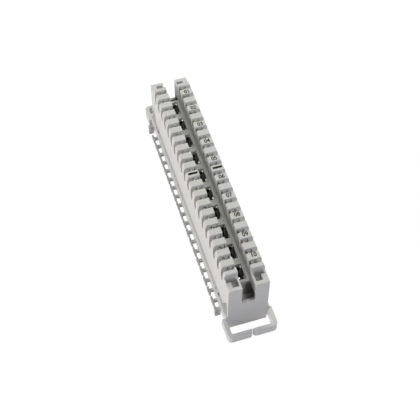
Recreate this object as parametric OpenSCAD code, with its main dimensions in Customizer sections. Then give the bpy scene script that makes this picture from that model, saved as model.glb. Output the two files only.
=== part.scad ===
// Wiring block for ten pairs: a toothed upper housing snapped over a lower housing,
// with one insulation-displacement contact under every wire slot.
// +X runs along the block, +Y points to the numbered row and +Z points up.
// The origin is the centre of the underside.

/* [Wire slots] */
// Distance from one wire slot to the next
slot_pitch = 4.85; // [4.6:0.05:5.5]
// Width of a wire slot
slot_w = 2; // [1.4:0.1:2.2]
// Depth of a wire slot below the tooth tops
slot_depth = 7; // [6:0.25:9]
// Height of the pointed bottom of a wire slot
slot_point_h = 1.5; // [0.8:0.1:2.4]
// Length of the first and last tooth of a row
end_tooth_l = 1.7; // [1.4:0.1:2.6]
// Width of a row of teeth, across the block
row_w = 5.35; // [5.2:0.05:6]
// Wall between a wire slot and the plug channel
inner_wall = 0.55; // [0.45:0.05:0.6]
// Height of the inner wall's edge below the tooth tops
inner_wall_drop = 3; // [2:0.5:5]
// Width of the reliefs in a tooth's sides, before and behind the blade
relief_w = 0.7; // [0.5:0.05:0.8]
// Depth of a relief in a tooth's side
relief_d = 0.7; // [0.3:0.05:0.8]
// Height of a relief's top below the tooth tops
relief_drop = 1; // [0.8:0.1:1.4]
// Distance from a blade's middle to a relief's middle
relief_offset = 1.1; // [1:0.05:1.3]
// Width of the bevel on a tooth's outer edge
bevel_w = 0.5; // [0.3:0.1:0.8]
// Height of the bevel on a tooth's outer edge
bevel_h = 1.6; // [0.8:0.2:2.4]

/* [Plug channel] */
// Width of the channel between the two rows
channel_w = 5.4; // [5:0.1:6.4]
// Depth of the channel below the tooth tops
channel_depth = 9.2; // [8.2:0.1:10.4]
// Thickness of the channel's floor
floor_t = 1.6; // [1.2:0.1:2]
// Length of a pair's opening in the floor
opening_l = 6.9; // [6.2:0.1:7.2]
// Width of a pair's opening in the floor
opening_w = 2.9; // [2.7:0.1:3.4]

/* [End blocks] */
// Length of an end block beyond the last tooth
end_block_l = 5.65; // [5.4:0.05:8]
// Height of an end block's top below the tooth tops
end_drop = 2.9; // [1.5:0.1:4]
// Thickness of the end wall
end_wall = 1.25; // [1:0.05:1.6]
// Width of the pocket in an end block
pocket_w = 2.7; // [2:0.1:3.4]
// Depth of the pocket in an end block
pocket_depth = 4.5; // [3:0.5:6.5]
// Thickness of the wall in front of a pocket
pocket_wall = 1.5; // [1.2:0.1:2]
// Length of a pocket's wide part, beside the last tooth
pocket_wide_l = 1.6; // [1:0.1:2.2]
// Wall outside a pocket's wide part
pocket_side_wall = 0.5; // [0.4:0.05:0.8]
// Depth of the notch in the end wall below the tooth tops
notch_depth = 13.9; // [11:0.1:16]
// Depth of the pit behind the notch below the tooth tops
pit_depth = 19; // [17:0.5:20.5]
// Width of the rooms at the pit's sides, under the channel's floor
pit_side_w = 2.1; // [1.2:0.1:2.2]
// Length of the channel's floor past the outermost openings
floor_past_opening = 1.1; // [0.6:0.1:1.3]

/* [Housing] */
// Height of the block, from the underside to the tooth tops
block_h = 31; // [30:0.5:36]
// Height of the ledge where the two housings meet
ledge_z = 9.2; // [8.6:0.2:9.6]
// Height of the contact straps' grooves in the upper housing
strap_room_h = 2.6; // [1.6:0.2:4]
// Size of the bevel along the upper housing's lower edge
seam_bevel = 0.3; // [0.2:0.05:0.5]
// Gap between the end wall's foot and the lower housing
end_wall_gap = 0.05; // [0.02:0.01:0.2]
// Height of the end wall's foot above the underside
end_wall_lift = 0.1; // [0.05:0.05:0.5]

/* [Lower housing] */
// Width of the ledge outside the upper housing
ledge_w = 0.85; // [0.7:0.05:1.2]
// Height of the flange under the ledge
flange_h = 5; // [4:0.2:6]
// Distance that the foot stands back from the flange
foot_inset = 1.4; // [1.2:0.1:2.4]
// Wall thickness of the foot and its ribs
foot_wall = 1.3; // [1:0.1:1.8]
// Thickness of the deck that the contacts stand on
deck_t = 1.6; // [1.2:0.1:2.2]
// Distance between the sockets for a frame's ears
ear_spacing = 95; // [90:0.5:96]
// Width of an ear socket
ear_w = 9; // [6:0.5:10]
// Thickness of an ear socket
ear_t = 1.8; // [1.2:0.1:2.2]
// Depth of an ear socket
ear_depth = 6; // [4:0.5:7]

/* [Wire rings] */
// Reach of a wire ring beyond the end wall
ring_reach = 7.57; // [6:0.1:9]
// Outer width of a wire ring
ring_w = 20.2; // [20:0.1:24]
// Height of a wire ring's band
ring_h = 4.4; // [3.4:0.2:5]
// Height of a wire ring above the underside
ring_z = 2.4; // [1:0.2:3.2]
// Thickness of a wire ring's arms
ring_arm_t = 1.7; // [1.2:0.1:1.9]
// Thickness of a wire ring's front bar
ring_bar_t = 1.35; // [1.1:0.05:1.8]
// Outer corner radius of a wire ring
ring_corner_r = 1.8; // [1:0.1:2.4]
// Length of a ring arm's root beside the flange
ring_root_l = 1; // [0.8:0.1:3]
// Width of the slit in the front bar
slit_w = 0.4; // [0.3:0.1:1.2]
// Radius of the slit's rounded mouth
slit_mouth_r = 1.2; // [0.5:0.05:1.3]

/* [Wire comb] */
// Gap between the flange and the fingers' heads
comb_gap = 1.5; // [1.2:0.1:2.2]
// Thickness of a finger's head
head_t = 0.8; // [0.6:0.1:1.2]
// Length of a finger's head
head_l = 4; // [3:0.1:4.2]
// Thickness of a finger's stem
stem_t = 1.1; // [0.8:0.1:1.6]
// Height of a finger
finger_h = 1.4; // [1:0.1:2.4]
// Thickness of the guard at each end of the comb
guard_t = 1.4; // [1:0.1:2]
// Height of the guard at each end of the comb
guard_h = 4.4; // [3:0.2:5]
// Distance from the last tooth's middle back to the guard's outer face
guard_inset = 0.1; // [0:0.1:0.6]
// Distance from the first tooth's middle out to the far guard's inner face
far_guard_set = 1.7; // [1.4:0.1:2.2]
// Reach of the near guard's head over the last gap
near_head_l = 0.6; // [0.3:0.1:0.8]
// Reach of the far guard's head over the first gap
far_head_l = 2; // [1:0.1:2.2]

/* [Contacts] */
// Distance from the channel's side to a blade's middle
blade_offset = 1.75; // [1.7:0.05:2.2]
// Width of a blade
blade_w = 3.1; // [2.8:0.1:3.2]
// Sheet thickness of a blade
blade_t = 0.5; // [0.4:0.05:0.5]
// Height of a blade's tip below the tooth tops
blade_drop = 1.5; // [1.2:0.1:3.2]
// Angle of a blade to the block's length
blade_angle = 45; // [40:1:50]
// Width of the cutting slit in a blade
cut_w = 0.3; // [0.2:0.05:0.4]
// Depth of the cutting slit in a blade
cut_depth = 7.5; // [5:0.5:9]
// Width of the groove that a blade stands in
groove_t = 0.7; // [0.65:0.05:0.8]
// Gap between a blade's edge and the end of its groove
groove_gap = 0.1; // [0.05:0.05:0.2]
// Width of a contact's strap and spring
spring_w = 2; // [1.6:0.1:2.2]
// Sheet thickness of a contact's strap and spring
spring_t = 0.4; // [0.3:0.05:0.5]
// Gap beside a contact's strap in its groove
strap_gap = 0.2; // [0.1:0.05:0.3]
// Height above the channel's floor of a spring's tip
tip_rise = -0.4; // [-1:0.1:0.8]
// Width of a spring's tip
tip_w = 0.8; // [0.6:0.1:1.6]

/* [Snaps] */
// Length of the latch slot in the ledge
latch_slot_l = 3.7; // [3.2:0.1:4.2]
// Width of the latch slot in the ledge
latch_slot_w = 0.55; // [0.5:0.05:0.6]
// Depth of the latch slot in the ledge
latch_slot_d = 2; // [1.2:0.1:3]
// Length of the lug in a latch slot
lug_l = 2.1; // [1.2:0.1:2.8]
// Height of a lug's root above the seam
lug_root_h = 1; // [0.6:0.1:1.4]
// Distance from a tooth's middle to a latch's middle
latch_shift = 1.35; // [1.2:0.05:1.5]
// Clearance of the lug and of the tongue in their recesses
snap_gap = 0.1; // [0.05:0.05:0.15]
// Length of the recess for a tongue
recess_l = 4.6; // [3.6:0.1:5]
// Height of the recess beside the end wall
recess_h = 8.8; // [6:0.2:9.4]
// Height of the recess at its other side
recess_low_h = 1; // [0.8:0.1:2]
// Depth of the recess for a tongue
recess_d = 2.2; // [1.8:0.1:2.4]
// Thickness of a tongue
tongue_t = 0.9; // [0.7:0.05:1]
// Height of a tongue's top below the recess
tongue_drop = 0.4; // [0.3:0.1:0.6]

/* [Hidden] */
$fn = 48;
pairs = 10;
slots = 2 * pairs;
sides = [-1, 1];
cut_over = 1;

HOUSING_GREY = [0.80, 0.80, 0.78];
BASE_GREY = [0.74, 0.74, 0.73];
CONTACT_SILVER = [0.82, 0.80, 0.74];

tooth_l = slot_pitch - slot_w;
tooth_zone_x = slots / 2 * slot_pitch - tooth_l / 2 + end_tooth_l;
end_x = tooth_zone_x + end_block_l;
end_wall_x = end_x - end_wall;
half_channel = channel_w / 2;
half_block = half_channel + row_w;
slot_y = half_channel + inner_wall;
floor_z = block_h - channel_depth;
end_top_z = block_h - end_drop;
notch_z = block_h - notch_depth;
pit_z = block_h - pit_depth;
pit_x = pair_x(pairs) + opening_l / 2 + floor_past_opening;
under_floor_z = floor_z - floor_t;

flange_z = ledge_z - flange_h;
flange_y = half_block + ledge_w;
foot_y = flange_y - foot_inset;
foot_x = end_wall_x - end_wall_gap;
ring_x = end_x + ring_reach;
ring_y = ring_w / 2;

blade_y = half_channel + blade_offset;
blade_top_z = block_h - blade_drop;
groove_l = blade_w + 2 * groove_gap;
strap_end_y = blade_y + blade_w / 4;
strap_z = ledge_z + spring_t;
touch_drop = 0.9;
touch_z = under_floor_z - touch_drop;
touch_h = 0.5;
tip_z = floor_z + tip_rise;
tip_lean = 0.8;
spring_root_y = 1.2;
chamber_gap = 0.3;
chamber_y = spring_root_y + spring_t + chamber_gap;

lug_y = half_block + latch_slot_w - snap_gap;
ear_x = ear_spacing / 2;
recess_x = foot_x - snap_gap - recess_l;

function slot_x(k) = (k - (slots + 1) / 2) * slot_pitch;
function tooth_x(i) = (i - slots / 2 - 1) * slot_pitch;
function pair_x(n) = (n - (pairs + 1) / 2) * 2 * slot_pitch;
function contact_name(row, k) = str("contact_", row, k < 10 ? "_0" : "_", k);

// A box between two corners
module box(low, high) {
    translate(low) cube(high - low);
}

// A flat shape drawn in Y and Z, carried along X
module along_x(from_x, to_x) {
    translate([from_x, 0, 0])
        rotate([90, 0, 90])
            linear_extrude(to_x - from_x) children();
}

// A flat shape drawn in X and Z, carried along Y
module along_y(from_y, to_y) {
    translate([0, to_y, 0])
        rotate([90, 0, 0])
            linear_extrude(to_y - from_y) children();
}

// The same at both ends of the block
module both_ends() {
    children();
    mirror([1, 0, 0]) children();
}

// The same on both sides of the block
module both_sides() {
    children();
    mirror([0, 1, 0]) children();
}

// The four places of a latch, near the second tooth from each end
module latch_places() {
    for (i = [2, slots]) translate([tooth_x(i) - latch_shift, 0, 0]) both_sides() children();
}

// ---- Upper housing ----

// Half of a row's section: outer side with its bevels, then the top
module row_section(top_z, bevel_y, bevel_z) {
    polygon([
        [0, ledge_z],
        [half_block - seam_bevel, ledge_z],
        [half_block, ledge_z + seam_bevel],
        [half_block, top_z - bevel_z],
        [half_block - bevel_y, top_z],
        [half_channel, top_z],
        [half_channel, floor_z],
        [0, floor_z]
    ]);
}

module housing_blank() {
    both_sides() {
        along_x(-tooth_zone_x, tooth_zone_x) row_section(block_h, bevel_w, bevel_h);
        along_x(-end_x, end_x) row_section(end_top_z, seam_bevel, seam_bevel);
    }
    both_ends()
        box([end_wall_x, -half_block, end_wall_lift], [end_x, half_block, floor_z]);
}

// A wire slot with its pointed bottom, open at the outer side
module wire_slot() {
    bottom_z = block_h - slot_depth;
    along_y(slot_y, half_block + cut_over)
        polygon([
            [-slot_w / 2, block_h + cut_over],
            [-slot_w / 2, bottom_z + slot_point_h],
            [0, bottom_z],
            [slot_w / 2, bottom_z + slot_point_h],
            [slot_w / 2, block_h + cut_over]
        ]);
    box([-slot_w / 2, half_channel - cut_over, block_h - inner_wall_drop],
        [slot_w / 2, slot_y + cut_over, block_h + cut_over]);
}

// The slanted groove that a blade stands in
module blade_groove() {
    groove_h = blade_top_z + groove_gap - ledge_z + cut_over;
    translate([0, blade_y, ledge_z - cut_over + groove_h / 2])
        rotate(blade_angle)
            cube([groove_l, groove_t, groove_h], center = true);
}

// Reliefs in the sides of the teeth, either side of a blade
module wire_reliefs() {
    half_l = slot_w / 2 + relief_d;
    for (side = sides) {
        middle_y = blade_y + side * relief_offset;
        box([-half_l, max(slot_y, middle_y - relief_w / 2), block_h - slot_depth + slot_point_h],
            [half_l, middle_y + relief_w / 2, block_h - relief_drop]);
    }
}

// Room under one slot for the straps of its two contacts
module strap_groove() {
    half_w = spring_w / 2 + strap_gap;
    half_l = strap_end_y + strap_gap;
    box([-half_w, -half_l, ledge_z - cut_over], [half_w, half_l, ledge_z + strap_room_h]);
}

// The chamber of one pair's springs, with its opening in the channel's floor
module pair_chamber() {
    half_l = slot_pitch / 2 + spring_w / 2 + strap_gap;
    box([-half_l, -chamber_y, ledge_z - cut_over], [half_l, chamber_y, under_floor_z]);
    box([-opening_l / 2, -opening_w / 2, under_floor_z - cut_over],
        [opening_l / 2, opening_w / 2, floor_z + cut_over]);
}

// Pit and notch at one end of the channel, with the pit's side rooms
module end_notch() {
    side_y = half_channel + pit_side_w;
    box([pit_x, -half_channel, pit_z], [end_wall_x, half_channel, block_h + cut_over]);
    box([pit_x, -side_y, pit_z], [end_wall_x, side_y, under_floor_z]);
    box([end_wall_x - cut_over, -half_channel, notch_z],
        [end_x + cut_over, half_channel, block_h + cut_over]);
}

// Open-topped pocket, wider beside the last tooth
module end_pocket() {
    bottom_z = end_top_z - pocket_depth;
    box([tooth_zone_x, slot_y, bottom_z],
        [end_x - pocket_wall, slot_y + pocket_w, end_top_z + cut_over]);
    box([tooth_zone_x, slot_y, bottom_z],
        [tooth_zone_x + pocket_wide_l, half_block - pocket_side_wall, end_top_z + cut_over]);
}

// Recess in the side wall for a tongue of the lower housing, rising towards the end wall
module tongue_recess() {
    along_y(half_block - recess_d, half_block + cut_over)
        polygon([
            [recess_x, ledge_z - cut_over],
            [recess_x + recess_l, ledge_z - cut_over],
            [recess_x + recess_l, ledge_z + recess_h],
            [recess_x, ledge_z + recess_low_h]
        ]);
}

// Lug that drops into a latch slot of the ledge
module latch_lug() {
    root_z = ledge_z + seam_bevel;
    box([-lug_l / 2, half_block - cut_over, root_z], [lug_l / 2, lug_y, root_z + lug_root_h]);
    box([-lug_l / 2, half_block + snap_gap, ledge_z - latch_slot_d + snap_gap],
        [lug_l / 2, lug_y, root_z + lug_root_h]);
}

module upper_housing() {
    color(HOUSING_GREY) {
        difference() {
            housing_blank();
            for (k = [1:slots]) translate([slot_x(k), 0, 0]) {
                both_sides() wire_slot();
                for (turn = [0, 180]) rotate(turn) blade_groove();
                both_sides() wire_reliefs();
                strap_groove();
            }
            for (n = [1:pairs]) translate([pair_x(n), 0, 0]) pair_chamber();
            both_ends() {
                end_notch();
                both_sides() {
                    end_pocket();
                    tongue_recess();
                }
            }
        }
        latch_places() latch_lug();
    }
}

// ---- Lower housing ----

// Flange with the ledge, and the foot that stands back under it
module base_blank() {
    box([-end_x, -flange_y, flange_z], [end_x, flange_y, ledge_z]);
    box([-foot_x, -foot_y, 0], [foot_x, foot_y, ledge_z]);
}

// Open cells between the foot's walls and ribs, one beside the other under each pair
module foot_cell() {
    half_l = slot_pitch - foot_wall / 2;
    box([-half_l, foot_wall / 2, -cut_over], [half_l, foot_y - foot_wall, ledge_z - deck_t]);
}

// Socket for one ear of a mounting frame
module ear_socket() {
    box([ear_x - ear_t / 2, -ear_w / 2, -cut_over], [ear_x + ear_t / 2, ear_w / 2, ear_depth]);
}

// Walls around a socket
module ear_boss() {
    half_l = ear_t / 2 + foot_wall;
    half_w = ear_w / 2 + foot_wall;
    box([ear_x - half_l, -half_w, 0], [ear_x + half_l, half_w, ledge_z]);
}

// Room for the foot of the upper housing's end wall
module end_wall_room() {
    room_y = half_block + end_wall_gap;
    box([foot_x, -room_y, -cut_over], [end_x + cut_over, room_y, ledge_z + cut_over]);
}

module latch_slot() {
    box([-latch_slot_l / 2, half_block, ledge_z - latch_slot_d],
        [latch_slot_l / 2, half_block + latch_slot_w, ledge_z + cut_over]);
}

// Ring outline seen from above, from one place to another along the block
module ring_outline(from_x, to_x, half_w, corner_r) {
    translate([from_x, -half_w]) square([to_x - corner_r - from_x, 2 * half_w]);
    translate([from_x, -half_w + corner_r]) square([to_x - from_x, 2 * (half_w - corner_r)]);
    for (side = sides)
        translate([to_x - corner_r, side * (half_w - corner_r)]) circle(r = corner_r);
}

// Slit through the front bar, with a rounded mouth
module ring_slit() {
    mouth_w = slit_w + 2 * slit_mouth_r;
    mouth_x = ring_x - slit_mouth_r;
    translate([ring_x - ring_bar_t - cut_over, -slit_w / 2])
        square([ring_bar_t + 2 * cut_over, slit_w]);
    difference() {
        translate([mouth_x, -mouth_w / 2]) square([slit_mouth_r + cut_over, mouth_w]);
        for (side = sides) translate([mouth_x, side * mouth_w / 2]) circle(r = slit_mouth_r);
    }
}

module wire_ring() {
    root_x = end_x - ring_root_l;
    room_y = half_block + end_wall_gap;
    translate([0, 0, ring_z])
        linear_extrude(ring_h)
            difference() {
                ring_outline(root_x, ring_x, ring_y, ring_corner_r);
                ring_outline(end_x, ring_x - ring_bar_t, ring_y - ring_arm_t, ring_arm_t / 2);
                translate([root_x - cut_over, -room_y])
                    square([end_x - root_x + 2 * cut_over, 2 * room_y]);
                ring_slit();
            }
}

// One T-shaped finger of the comb
module comb_finger() {
    head_y = flange_y + comb_gap + head_t / 2;
    translate([0, 0, flange_z])
        linear_extrude(finger_h) {
            translate([-stem_t / 2, flange_y - cut_over])
                square([stem_t, head_y - flange_y + cut_over]);
            translate([-(head_l - head_t) / 2, head_y - head_t / 2])
                square([head_l - head_t, head_t]);
            for (end = sides)
                translate([end * (head_l - head_t) / 2, head_y]) circle(d = head_t);
        }
}

// Guard plate that closes the comb at one end, with a head like a finger's
module comb_guard(from_x, head_from_x, head_to_x) {
    outer_y = flange_y + comb_gap + head_t;
    top_z = flange_z + finger_h;
    box([from_x, flange_y - cut_over, flange_z], [from_x + guard_t, outer_y, top_z]);
    box([from_x, flange_y, top_z - guard_h], [from_x + guard_t, outer_y, top_z]);
    box([head_from_x, outer_y - head_t, flange_z], [head_to_x, outer_y, top_z]);
}

module wire_comb() {
    near_x = tooth_x(slots + 1) - guard_inset - guard_t;
    far_x = tooth_x(1) - far_guard_set - guard_t;
    mirror([0, 1, 0]) {
        for (i = [2:slots]) translate([tooth_x(i), 0, 0]) comb_finger();
        comb_guard(near_x, near_x - near_head_l, near_x + guard_t);
        comb_guard(far_x, far_x, far_x + guard_t + far_head_l);
    }
}

// Tongue that springs into the upper housing's side wall
module snap_tongue() {
    root_y = half_block - recess_d + snap_gap;
    along_y(root_y, root_y + tongue_t)
        polygon([
            [recess_x + snap_gap, ledge_z - cut_over],
            [recess_x + recess_l - snap_gap, ledge_z - cut_over],
            [recess_x + recess_l - snap_gap, ledge_z + recess_h - tongue_drop],
            [recess_x + snap_gap, ledge_z + recess_low_h - tongue_drop]
        ]);
}

module lower_housing() {
    color(BASE_GREY) {
        difference() {
            union() {
                difference() {
                    base_blank();
                    for (n = [1:pairs]) translate([pair_x(n), 0, 0]) both_sides() foot_cell();
                }
                both_ends() ear_boss();
            }
            both_ends() {
                ear_socket();
                end_wall_room();
            }
            latch_places() latch_slot();
        }
        both_ends() {
            wire_ring();
            both_sides() snap_tongue();
        }
        wire_comb();
    }
}

// ---- Contacts ----

// Upright blade with its cutting slit and chamfered tips
module blade() {
    half_w = blade_w / 2;
    tip_cut = 0.5;
    mouth = 0.55;
    translate([0, blade_y, 0])
        rotate(blade_angle)
            along_y(-blade_t / 2, blade_t / 2)
                polygon([
                    [-half_w, ledge_z],
                    [half_w, ledge_z],
                    [half_w, blade_top_z - 2 * tip_cut],
                    [half_w - tip_cut, blade_top_z],
                    [mouth, blade_top_z],
                    [cut_w / 2, blade_top_z - 2 * mouth],
                    [cut_w / 2, blade_top_z - cut_depth],
                    [-cut_w / 2, blade_top_z - cut_depth],
                    [-cut_w / 2, blade_top_z - 2 * mouth],
                    [-mouth, blade_top_z],
                    [-half_w + tip_cut, blade_top_z],
                    [-half_w, blade_top_z - 2 * tip_cut]
                ]);
}

// Strap to the middle of the block, and the spring that rises to meet its partner
module spring() {
    along_x(-spring_w / 2, spring_w / 2)
        polygon([
            [strap_end_y, ledge_z],
            [spring_root_y, ledge_z],
            [0, touch_z],
            [0, touch_z + touch_h],
            [spring_t, touch_z + touch_h],
            [spring_t, touch_z],
            [spring_root_y + spring_t, strap_z],
            [strap_end_y, strap_z]
        ]);
    along_x(-tip_w / 2, tip_w / 2)
        polygon([
            [0, touch_z],
            [0, touch_z + touch_h],
            [tip_lean, tip_z],
            [tip_lean + spring_t, tip_z],
            [spring_t, touch_z + touch_h],
            [spring_t, touch_z]
        ]);
}

module contact(k, turn) {
    color(CONTACT_SILVER)
        translate([slot_x(k), 0, 0])
            rotate(turn) {
                blade();
                spring();
            }
}

upper_housing();
lower_housing();
for (k = [1:slots]) {
    contact(k, 180);
    contact(k, 0);
}
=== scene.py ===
"""Looks of the wiring block: moulded plastic, plated contacts, print on the teeth, light and camera.

Metres, in the CAD frame: +X towards the near end, +Y towards the numbered row, +Z up.
"""

import math

import bpy
from mathutils import Matrix, Vector


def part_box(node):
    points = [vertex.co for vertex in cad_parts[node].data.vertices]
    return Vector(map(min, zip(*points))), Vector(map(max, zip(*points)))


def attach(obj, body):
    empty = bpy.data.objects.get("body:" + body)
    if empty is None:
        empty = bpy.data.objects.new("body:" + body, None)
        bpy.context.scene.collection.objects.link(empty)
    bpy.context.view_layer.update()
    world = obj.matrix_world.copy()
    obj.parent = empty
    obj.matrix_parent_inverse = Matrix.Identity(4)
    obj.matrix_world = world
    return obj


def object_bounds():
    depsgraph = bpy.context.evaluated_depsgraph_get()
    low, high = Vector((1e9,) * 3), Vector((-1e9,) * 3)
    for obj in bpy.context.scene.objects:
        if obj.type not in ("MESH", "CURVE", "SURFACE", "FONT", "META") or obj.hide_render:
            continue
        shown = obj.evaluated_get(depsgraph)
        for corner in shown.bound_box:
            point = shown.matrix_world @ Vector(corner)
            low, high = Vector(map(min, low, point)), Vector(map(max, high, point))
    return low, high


MM = 0.001
PAIRS = 10

# Print on the teeth. The figures' pitch is a little shorter than the teeth's.
FIGURE_HEIGHT = 1.85 * MM
FIGURE_NARROWING = 0.9
FIGURE_PITCH = 9.64 * MM
FIGURE_SET_BACK = 0.12 * MM
# Place across the tooth, from its inner edge at 0 to its outer edge at 1
FIGURE_SHARE = 0.535
# Height of a figure as a share of the typeface's size
CAPITAL_SHARE = 0.7
# Widening of the typeface's strokes to each side
STROKE_GAIN = 0.065 * MM
BAR_LENGTH = 3.85 * MM
BAR_WIDTH = 1.05 * MM
BAR_SET_BACK = 0.15 * MM
INK_HEIGHT = 0.02 * MM

# Colours, as linear values
HOUSING_COLOUR = (0.66, 0.665, 0.645)
BASE_COLOUR = (0.65, 0.66, 0.642)
INK_COLOUR = (0.006, 0.006, 0.006)
# Dark metal for tarnish patches and for the contacts' painted shade in the depths
SHADE_AND_TARNISH_METAL = (0.035, 0.032, 0.026)
PALE_METAL = (0.9, 0.87, 0.8)
FLOOR_PAPER = (0.8, 0.8, 0.8)
FLOOR_SHADE = (0.12, 0.12, 0.12)
WHITE = (1.0, 1.0, 1.0)

# How much of the plastic's colour is left under the painted shade
PIT_SHADE = 0.35
COMB_SHADE = 0.62
# Painted shade in the pits: in from the end faces, out from the middle, and down from the tooth tops
PIT_SHADE_X = (7.1 * MM, 0.3 * MM)
PIT_SHADE_Y = (0.7 * MM, 5.0 * MM)
PIT_SHADE_Z = 10.4 * MM
# Painted shade on the comb: in from the rings' ends, and in from the fingers' heads
COMB_SHADE_X = 8.5 * MM
COMB_SHADE_Y = 1.8 * MM
# A distance beyond every part of the block
BEYOND = 1.0

# Depths under the tooth tops where the contacts' painted shade fades out: fully dark below the first,
# unshaded above the second
SHADED_BELOW = 10.6 * MM
UNSHADED_ABOVE = 9.8 * MM

# Camera
CAMERA_TARGET = Vector((12.83, -2.09, 21.89)) * MM
CAMERA_AZIMUTH = math.radians(-17.55)
CAMERA_ELEVATION = math.radians(54.62)
CAMERA_DISTANCE = 338.7 * MM
CAMERA_LENS = 72.65
SENSOR_WIDTH = 36
CLIP_START = 10 * MM

# Studio. FLOOR_GAP keeps the floor clear of the underside.
FLOOR_SIZE = 4.0
FLOOR_GAP = 0.05 * MM
FLOOR_GLOW = 0.94
SKY_STRENGTH = 0.02
LAMP_DISTANCE = 1.2
LAMP_SIZE = 0.5
# Name, azimuth and elevation in degrees, power in watts, colour
LAMPS = [
    ("key", -80, 20, 10.0, (1.0, 0.93, 0.94)),
    ("back", 150, 35, 4.5, (0.96, 1.0, 0.81)),
    ("high_back", 180, 50, 2.2, (0.89, 1.0, 0.99)),
    ("right", 90, 25, 2.3, (0.97, 1.0, 0.77)),
    ("fill", 50, 20, 3.1, (0.52, 0.63, 1.0)),
    ("high_fill", 0, 62, 2.5, (1.0, 0.88, 0.85)),
]


def aimed(name, data, target, azimuth, elevation, distance):
    """Adds a lamp or a camera that looks at target from that azimuth, height and distance."""
    flat = math.cos(elevation)
    towards = Vector((flat * math.cos(azimuth), flat * math.sin(azimuth), math.sin(elevation)))
    holder = bpy.data.objects.new(name, data)
    holder.location = target + towards * distance
    holder.rotation_euler = towards.to_track_quat("Z", "Y").to_euler()
    bpy.context.collection.objects.link(holder)
    return holder


def rectangle(name, size_x, size_y, middle):
    """Adds a flat rectangle that faces up."""
    half_x, half_y = size_x / 2, size_y / 2
    corners = [(-half_x, -half_y, 0), (half_x, -half_y, 0), (half_x, half_y, 0), (-half_x, half_y, 0)]
    mesh = bpy.data.meshes.new(name)
    mesh.from_pydata(corners, [], [(0, 1, 2, 3)])
    piece = bpy.data.objects.new(name, mesh)
    piece.location = middle
    bpy.context.collection.objects.link(piece)
    return piece


# ---- Material nodes ----


def new_material(name):
    """An empty node material with its nodes, its links, its shader and its object coordinates."""
    material = bpy.data.materials.new(name)
    material.use_nodes = True
    nodes = material.node_tree.nodes
    shader = nodes["Principled BSDF"]
    place = nodes.new("ShaderNodeTexCoord").outputs["Object"]
    return material, nodes, material.node_tree.links, shader, place


def noise(nodes, links, place, scale, detail=3.0):
    node = nodes.new("ShaderNodeTexNoise")
    node.inputs["Scale"].default_value = scale
    node.inputs["Detail"].default_value = detail
    links.new(place, node.inputs["Vector"])
    return node.outputs["Fac"]


def ramp(nodes, links, value, first, last):
    """A colour for each value, between a first and a last stop of (value, colour)."""
    node = nodes.new("ShaderNodeValToRGB")
    for element, (position, colour) in zip(node.color_ramp.elements, (first, last)):
        element.position = position
        element.color = (*colour, 1.0)
    links.new(value, node.inputs["Fac"])
    return node.outputs["Color"]


def spread(nodes, links, value, low, high):
    """Stretches a value from 0..1 to low..high."""
    node = nodes.new("ShaderNodeMapRange")
    node.inputs["To Min"].default_value = low
    node.inputs["To Max"].default_value = high
    links.new(value, node.inputs["Value"])
    return node.outputs["Result"]


def fade(nodes, links, value, low, high):
    """0 up to low, 1 from high on, and a smooth change between the two."""
    node = nodes.new("ShaderNodeMapRange")
    node.interpolation_type = "SMOOTHSTEP"
    node.inputs["From Min"].default_value = low
    node.inputs["From Max"].default_value = high
    links.new(value, node.inputs["Value"])
    return node.outputs["Result"]


def bump(nodes, links, height, strength, distance, below=None):
    node = nodes.new("ShaderNodeBump")
    node.inputs["Strength"].default_value = strength
    node.inputs["Distance"].default_value = distance
    links.new(height, node.inputs["Height"])
    if below is not None:
        links.new(below, node.inputs["Normal"])
    return node.outputs["Normal"]


def soft_edges(nodes, radius):
    node = nodes.new("ShaderNodeBevel")
    node.samples = 6
    node.inputs["Radius"].default_value = radius
    return node.outputs["Normal"]


def axis(nodes, links, place, letter):
    """One coordinate of the place on the block."""
    split = nodes.new("ShaderNodeSeparateXYZ")
    links.new(place, split.inputs["Vector"])
    return split.outputs[letter]


def arithmetic(nodes, links, operation, *values):
    node = nodes.new("ShaderNodeMath")
    node.operation = operation
    for value, socket in zip(values, node.inputs):
        links.new(value, socket)
    return node.outputs["Value"]


def blend(nodes, links, share, first, second):
    """Mixes two colours, each a socket or plain numbers, by the share of the second one."""
    node = nodes.new("ShaderNodeMix")
    node.data_type = "RGBA"
    colours = [socket for socket in node.inputs if socket.type == "RGBA"]
    for socket, colour in zip(colours, (first, second)):
        if isinstance(colour, bpy.types.NodeSocket):
            links.new(colour, socket)
        else:
            socket.default_value = (*colour, 1.0)
    links.new(share, node.inputs["Factor"])
    return [socket for socket in node.outputs if socket.type == "RGBA"][0]


def painted_shade_mask(nodes, links, place, area):
    """Mask of a painted shade: 1 inside the area and 0 outside it; area holds (low, high, blur) for |x|, y
    and z.
    """
    shares = []
    for letter, (low, high, blur) in zip("XYZ", area):
        value = axis(nodes, links, place, letter)
        if letter == "X":
            value = arithmetic(nodes, links, "ABSOLUTE", value)
        rise = fade(nodes, links, value, low - blur / 2, low + blur / 2)
        fall = fade(nodes, links, value, high - blur / 2, high + blur / 2)
        shares.append(arithmetic(nodes, links, "SUBTRACT", rise, fall))
    flat = arithmetic(nodes, links, "MULTIPLY", shares[0], shares[1])
    return arithmetic(nodes, links, "MULTIPLY", flat, shares[2])


def shown_ray(nodes, links):
    """1 for rays that show the surroundings: seen directly, in a reflection or through glass."""
    path = nodes.new("ShaderNodeLightPath")
    seen = arithmetic(nodes, links, "MAXIMUM", path.outputs["Is Camera Ray"], path.outputs["Is Glossy Ray"])
    return arithmetic(nodes, links, "MAXIMUM", seen, path.outputs["Is Transmission Ray"])


def choose(nodes, links, share, first, second):
    """The first shader where share is 0 and the second where it is 1."""
    mix = nodes.new("ShaderNodeMixShader")
    for value, socket in zip((share, first, second), mix.inputs):
        links.new(value, socket)
    return mix.outputs["Shader"]


# ---- Materials ----


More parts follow.
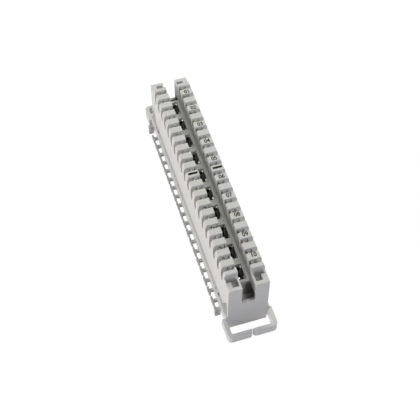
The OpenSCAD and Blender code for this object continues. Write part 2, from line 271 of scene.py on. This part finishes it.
def plastic(name, colour, area, shaded_share):
    """Satin moulded plastic with a fine spark-eroded grain and cloudy colour, darkened inside the given
    area as painted shade.
    """
    material, nodes, links, shader, place = new_material(name)
    dark = [0.96 * c for c in colour]
    light = [1.04 * c for c in colour]
    clouds = noise(nodes, links, place, 1200.0, detail=6.0)
    clouded = ramp(nodes, links, clouds, (0.3, dark), (0.7, light))
    # Painted shade: inside the area the colour is darkened to a share of itself.
    shaded_colour = [shaded_share * c for c in colour]
    tint = blend(nodes, links, painted_shade_mask(nodes, links, place, area), clouded, shaded_colour)
    links.new(tint, shader.inputs["Base Color"])
    sheen = noise(nodes, links, place, 400.0)
    links.new(spread(nodes, links, sheen, 0.42, 0.56), shader.inputs["Roughness"])
    grain = noise(nodes, links, place, 6000.0, detail=2.0)
    rounded = soft_edges(nodes, 0.12 * MM)
    links.new(bump(nodes, links, grain, 0.15, 0.02 * MM, rounded), shader.inputs["Normal"])
    shader.inputs["IOR"].default_value = 1.47
    return material


def plated_metal(top):
    """Silver-plated strip with rolling lines: painted shade turns it dark below a depth under the tooth
    tops, and above it random dark tarnish patches leave painted glints on the pale metal.
    """
    material, nodes, links, shader, place = new_material("silver_plate")
    shader.inputs["Metallic"].default_value = 1.0
    # Random dark tarnish patches on the pale metal, laid out to leave painted glints between them.
    tarnish_and_glints = noise(nodes, links, place, 1100.0)
    tarnish_with_glints = ramp(nodes, links, tarnish_and_glints, (0.42, SHADE_AND_TARNISH_METAL), (0.58, PALE_METAL))
    # Painted shade: below a depth under the tooth tops the metal turns dark.
    out_of_shade = fade(nodes, links, axis(nodes, links, place, "Z"), top - SHADED_BELOW, top - UNSHADED_ABOVE)
    links.new(blend(nodes, links, out_of_shade, SHADE_AND_TARNISH_METAL, tarnish_with_glints), shader.inputs["Base Color"])
    links.new(spread(nodes, links, tarnish_and_glints, 0.2, 0.38), shader.inputs["Roughness"])
    lines = nodes.new("ShaderNodeMapping")
    lines.inputs["Scale"].default_value = (1.0, 1.0, 0.05)
    links.new(place, lines.inputs["Vector"])
    rolled = noise(nodes, links, lines.outputs["Vector"], 9000.0)
    rounded = soft_edges(nodes, 0.04 * MM)
    links.new(bump(nodes, links, rolled, 0.2, 0.01 * MM, rounded), shader.inputs["Normal"])
    return material


def ink():
    """Black pad print, thinner in places."""
    material, nodes, links, shader, place = new_material("black_ink")
    thin = [2.5 * c for c in INK_COLOUR]
    cover = noise(nodes, links, place, 2500.0)
    links.new(ramp(nodes, links, cover, (0.35, INK_COLOUR), (0.75, thin)), shader.inputs["Base Color"])
    shader.inputs["Roughness"].default_value = 0.7
    shader.inputs["Specular IOR Level"].default_value = 0.1
    links.new(bump(nodes, links, cover, 0.1, 0.01 * MM), shader.inputs["Normal"])
    return material


def pit_shade_area():
    """Where shade is painted in the pits: (low, high, blur) of |x|, y and z."""
    end, _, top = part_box("upper_housing")[1]
    inmost, rim = PIT_SHADE_X
    middle, side = PIT_SHADE_Y
    return [(end - inmost, end - rim, 0.5 * MM), (middle, side, 2.0 * MM),
            (-BEYOND, top - PIT_SHADE_Z, 1.6 * MM)]


def comb_shade_area():
    """Where shade is painted on the comb: (low, high, blur) of |x|, y and z."""
    (_, heads, _), (end, _, _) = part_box("lower_housing")
    return [(-BEYOND, end - COMB_SHADE_X, 2.0 * MM), (-BEYOND, heads + COMB_SHADE_Y, 1.6 * MM),
            (-BEYOND, BEYOND, 2.0 * MM)]


def paint_nodes(nodes):
    """Gives each CAD node its finish."""
    # Both plastics carry a painted shade: the housing in its pits, the base on its comb.
    finishes = {"upper_housing": plastic("housing_plastic", HOUSING_COLOUR, pit_shade_area(), PIT_SHADE),
                "lower_housing": plastic("base_plastic", BASE_COLOUR, comb_shade_area(), COMB_SHADE)}
    metal = plated_metal(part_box("upper_housing")[1][2])
    for name, node in nodes.items():
        for place in node.material_slots:
            place.material = finishes.get(name, metal)


# ---- Print on the teeth ----


def tooth_tops(housing):
    """Height of the tooth tops and how far they reach across, from the middle outwards."""
    top = max(v.co.z for v in housing.data.vertices)
    across = [abs(v.co.y) for v in housing.data.vertices if top - v.co.z < 0.01 * MM]
    return top, min(across), max(across)


def slot_middle(slot_number):
    low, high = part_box(f"contact_right_{slot_number:02d}")
    return (low[0] + high[0]) / 2


def figure(text, middle, material):
    """Flat print of a figure, upright for someone at the +X end."""
    curve = bpy.data.curves.new(f"print_{text}", "FONT")
    curve.body = text
    curve.align_x = "CENTER"
    curve.align_y = "CENTER"
    curve.size = FIGURE_HEIGHT / CAPITAL_SHARE
    curve.offset = STROKE_GAIN
    outline = bpy.data.objects.new(f"print_{text}", curve)
    bpy.context.collection.objects.link(outline)
    mesh = bpy.data.meshes.new_from_object(outline)
    bpy.data.objects.remove(outline)
    heights = [v.co.y for v in mesh.vertices]
    mesh.transform(Matrix.Translation((0, -(min(heights) + max(heights)) / 2, 0)))
    piece = bpy.data.objects.new(f"figure_{text}", mesh)
    piece.location = middle
    piece.scale.x = FIGURE_NARROWING
    piece.rotation_euler.z = math.pi / 2
    bpy.context.collection.objects.link(piece)
    finish_print(piece, material)


def finish_print(piece, material):
    piece.data.materials.clear()
    piece.data.materials.append(material)
    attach(piece, "root")


def print_teeth(housing):
    """Figures 01 to 10 on the numbered row, and a bar across each row's middle tooth."""
    material = ink()
    top, inner, outer = tooth_tops(housing)
    ink_z = top + INK_HEIGHT
    figure_y = inner + (outer - inner) * FIGURE_SHARE
    block_middle = (slot_middle(1) + slot_middle(2 * PAIRS)) / 2
    for pair in range(1, PAIRS + 1):
        x = block_middle + (pair - (PAIRS + 1) / 2) * FIGURE_PITCH - FIGURE_SET_BACK
        figure(f"{pair:02d}", (x, figure_y, ink_z), material)
    bar_x = block_middle - BAR_SET_BACK
    bar_y = (inner + outer) / 2
    for name, side in (("left", -1), ("right", 1)):
        bar = rectangle(f"bar_{name}", BAR_WIDTH, BAR_LENGTH, (bar_x, side * bar_y, ink_z))
        finish_print(bar, material)


# ---- Studio ----


def white_floor(height):
    """A pale floor that the camera sees as white, with the block's shadow kept faint."""
    floor = rectangle("floor", FLOOR_SIZE, FLOOR_SIZE, (0, 0, height))
    material, nodes, links, shader, _ = new_material("floor_white")
    nodes.remove(shader)
    paper = nodes.new("ShaderNodeBsdfDiffuse")
    paper.inputs["Color"].default_value = (*FLOOR_PAPER, 1.0)
    faint = nodes.new("ShaderNodeBsdfDiffuse")
    faint.inputs["Color"].default_value = (*FLOOR_SHADE, 1.0)
    glow = nodes.new("ShaderNodeEmission")
    glow.inputs["Strength"].default_value = FLOOR_GLOW
    white = nodes.new("ShaderNodeAddShader")
    links.new(faint.outputs["BSDF"], white.inputs[0])
    links.new(glow.outputs["Emission"], white.inputs[1])
    seen = choose(nodes, links, shown_ray(nodes, links), paper.outputs["BSDF"], white.outputs["Shader"])
    links.new(seen, nodes["Material Output"].inputs["Surface"])
    floor.data.materials.append(material)


def white_world():
    """An even sky that lights the block faintly and shows as white."""
    world = bpy.data.worlds.new("studio")
    world.use_nodes = True
    nodes, links = world.node_tree.nodes, world.node_tree.links
    sky = nodes["Background"]
    sky.inputs["Color"].default_value = (*WHITE, 1.0)
    sky.inputs["Strength"].default_value = SKY_STRENGTH
    seen_sky = nodes.new("ShaderNodeBackground")
    seen_sky.inputs["Color"].default_value = (*WHITE, 1.0)
    both = choose(nodes, links, shown_ray(nodes, links), sky.outputs[0], seen_sky.outputs[0])
    links.new(both, nodes["World Output"].inputs["Surface"])
    bpy.context.scene.world = world


def studio(bottom):
    """Floor, sky and soft square lamps that look at the block's middle."""
    white_floor(bottom - FLOOR_GAP)
    white_world()
    for name, azimuth, elevation, power, colour in LAMPS:
        light = bpy.data.lights.new(name, "AREA")
        light.size = LAMP_SIZE
        light.energy = power
        light.color = colour
        middle = Vector((0, 0, 0))
        aimed(name, light, middle, math.radians(azimuth), math.radians(elevation), LAMP_DISTANCE)


def camera():
    lens = bpy.data.cameras.new("camera")
    lens.lens = CAMERA_LENS
    lens.sensor_width = SENSOR_WIDTH
    lens.clip_start = CLIP_START
    holder = aimed("camera", lens, CAMERA_TARGET, CAMERA_AZIMUTH, CAMERA_ELEVATION, CAMERA_DISTANCE)
    bpy.context.scene.camera = holder


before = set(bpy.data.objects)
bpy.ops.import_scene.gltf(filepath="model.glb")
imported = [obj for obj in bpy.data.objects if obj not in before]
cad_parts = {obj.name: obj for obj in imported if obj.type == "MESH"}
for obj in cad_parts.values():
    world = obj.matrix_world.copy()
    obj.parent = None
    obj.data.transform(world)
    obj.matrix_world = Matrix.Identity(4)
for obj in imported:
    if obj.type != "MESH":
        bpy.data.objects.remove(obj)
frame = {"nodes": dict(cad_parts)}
cad_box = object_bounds()
paint_nodes(frame["nodes"])
print_teeth(frame["nodes"]["upper_housing"])
studio(cad_box[0][2])
camera()
bpy.context.scene.view_settings.view_transform = "Standard"
